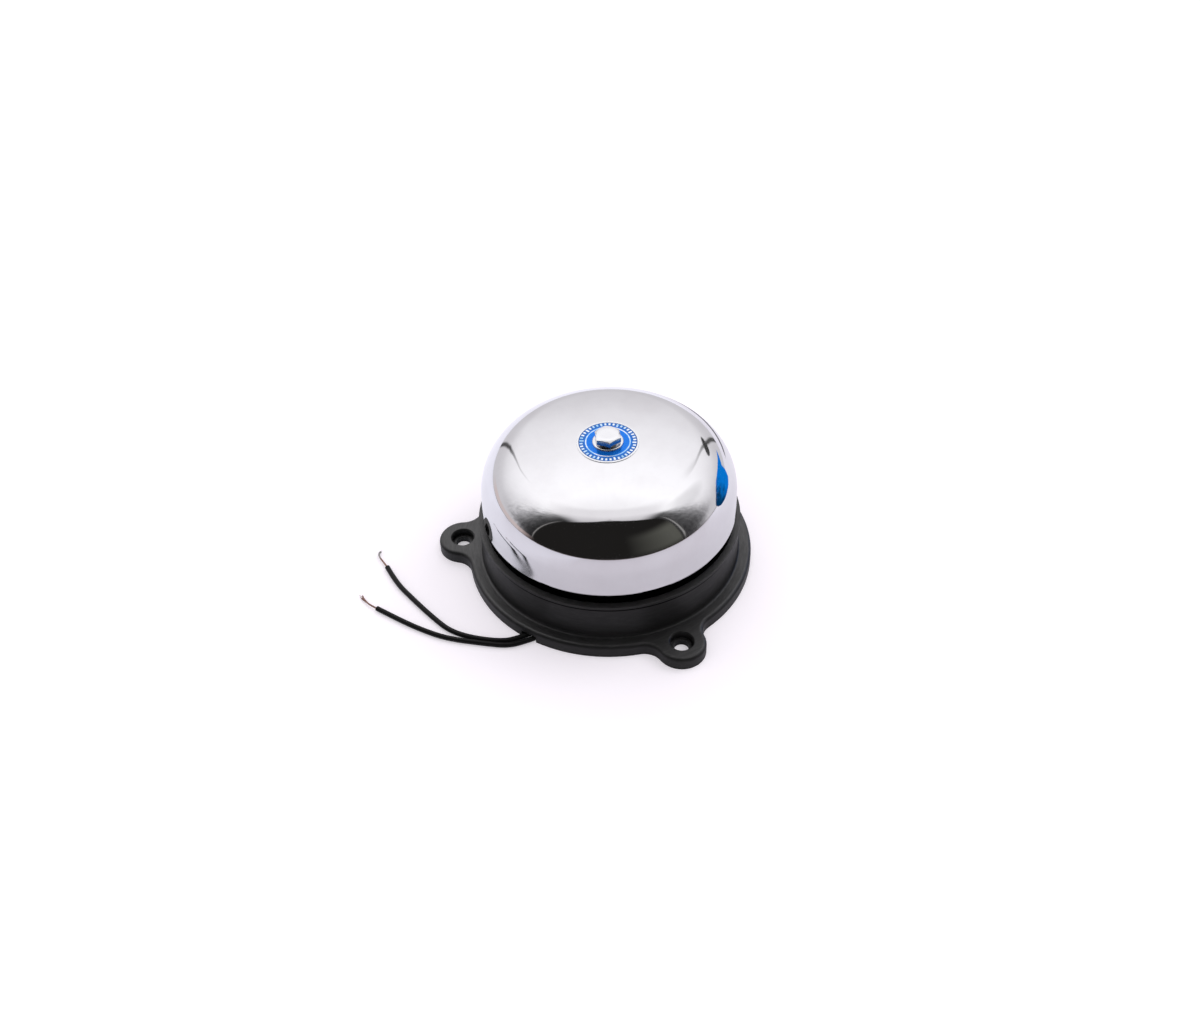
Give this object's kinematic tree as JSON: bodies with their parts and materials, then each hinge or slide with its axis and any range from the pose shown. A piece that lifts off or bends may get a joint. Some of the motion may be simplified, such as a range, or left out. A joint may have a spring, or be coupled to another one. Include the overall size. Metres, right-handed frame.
{
  "type": "internal striker gong bell",
  "caption": "Surface-mount electric bell: a domed chrome gong over a black eared base, with a solenoid striker that taps the gong from inside, and bare-ended leads.",
  "frame": {"origin": "centre of the three ear holes' circle, on the back of the base", "axes": "+Z out of the wall along the bell's axis, +X the way the striker moves to hit the gong; the ears lie at 60, 180 and 300 degrees from +X"},
  "size_m": [0.1156, 0.0922, 0.0468],
  "materials": {
    "black_moulding": "semi-gloss black moulding",
    "gong_chrome": "polished plated steel",
    "fibre": "red vulcanised fibre",
    "brass": "machined brass",
    "disc_print": "blue printed disc with plain white marks",
    "zinc_steel": "bright zinc plated steel",
    "yoke_steel": "yellow passivated zinc on bent steel",
    "bobbin_nylon": "natural nylon",
    "copper": "enamelled copper wire",
    "coil_tape": "yellow polyester tape",
    "rubber": "black rubber",
    "soft_iron": "turned soft iron",
    "spring_steel": "bright spring steel",
    "clamp_nylon": "natural nylon",
    "sleeve_plastic": "woven insulating sleeve",
    "diode_epoxy": "black epoxy with a pale cathode band",
    "lead_insulation": "black soft insulation",
    "strand_copper": "fine bare copper strands",
    "tail_insulation": "thin red insulation"
  },
  "bodies": {
    "base": {"housing": "black_moulding", "gong": "gong_chrome", "gong_spacer": "fibre", "post_insert": "brass", "name_disc": "disc_print", "flat_washer": "zinc_steel", "lock_washer": "zinc_steel", "gong_bolt": "zinc_steel", "coil_yoke": "yoke_steel", "yoke_screws": "zinc_steel", "guide_tube": "brass", "bobbin": "bobbin_nylon", "winding": "copper", "coil_tape": "coil_tape", "stop_pad": "rubber", "return_spring": "spring_steel", "lead_clamp": "clamp_nylon", "clamp_screw": "zinc_steel", "splice_sleeves": "sleeve_plastic", "rectifier_diode": "diode_epoxy", "lead_long": "lead_insulation", "lead_short": "lead_insulation", "lead_long_strands": "strand_copper", "lead_short_strands": "strand_copper", "lead_tails": "lead_insulation", "coil_tails": "tail_insulation"},
    "striker": {"plunger": "soft_iron", "spring_clip": "spring_steel", "striker_rod": "spring_steel", "striker_head": "brass"}
  },
  "joints": [
    {"name": "striker_slide", "type": "slide", "parent": "base", "child": "striker", "axis": [1, 0, 0], "range_m": [0, 0.003], "stiffness_N_per_m": 120, "springref_m": -0.003, "deforming": ["return_spring"]}
  ]
}
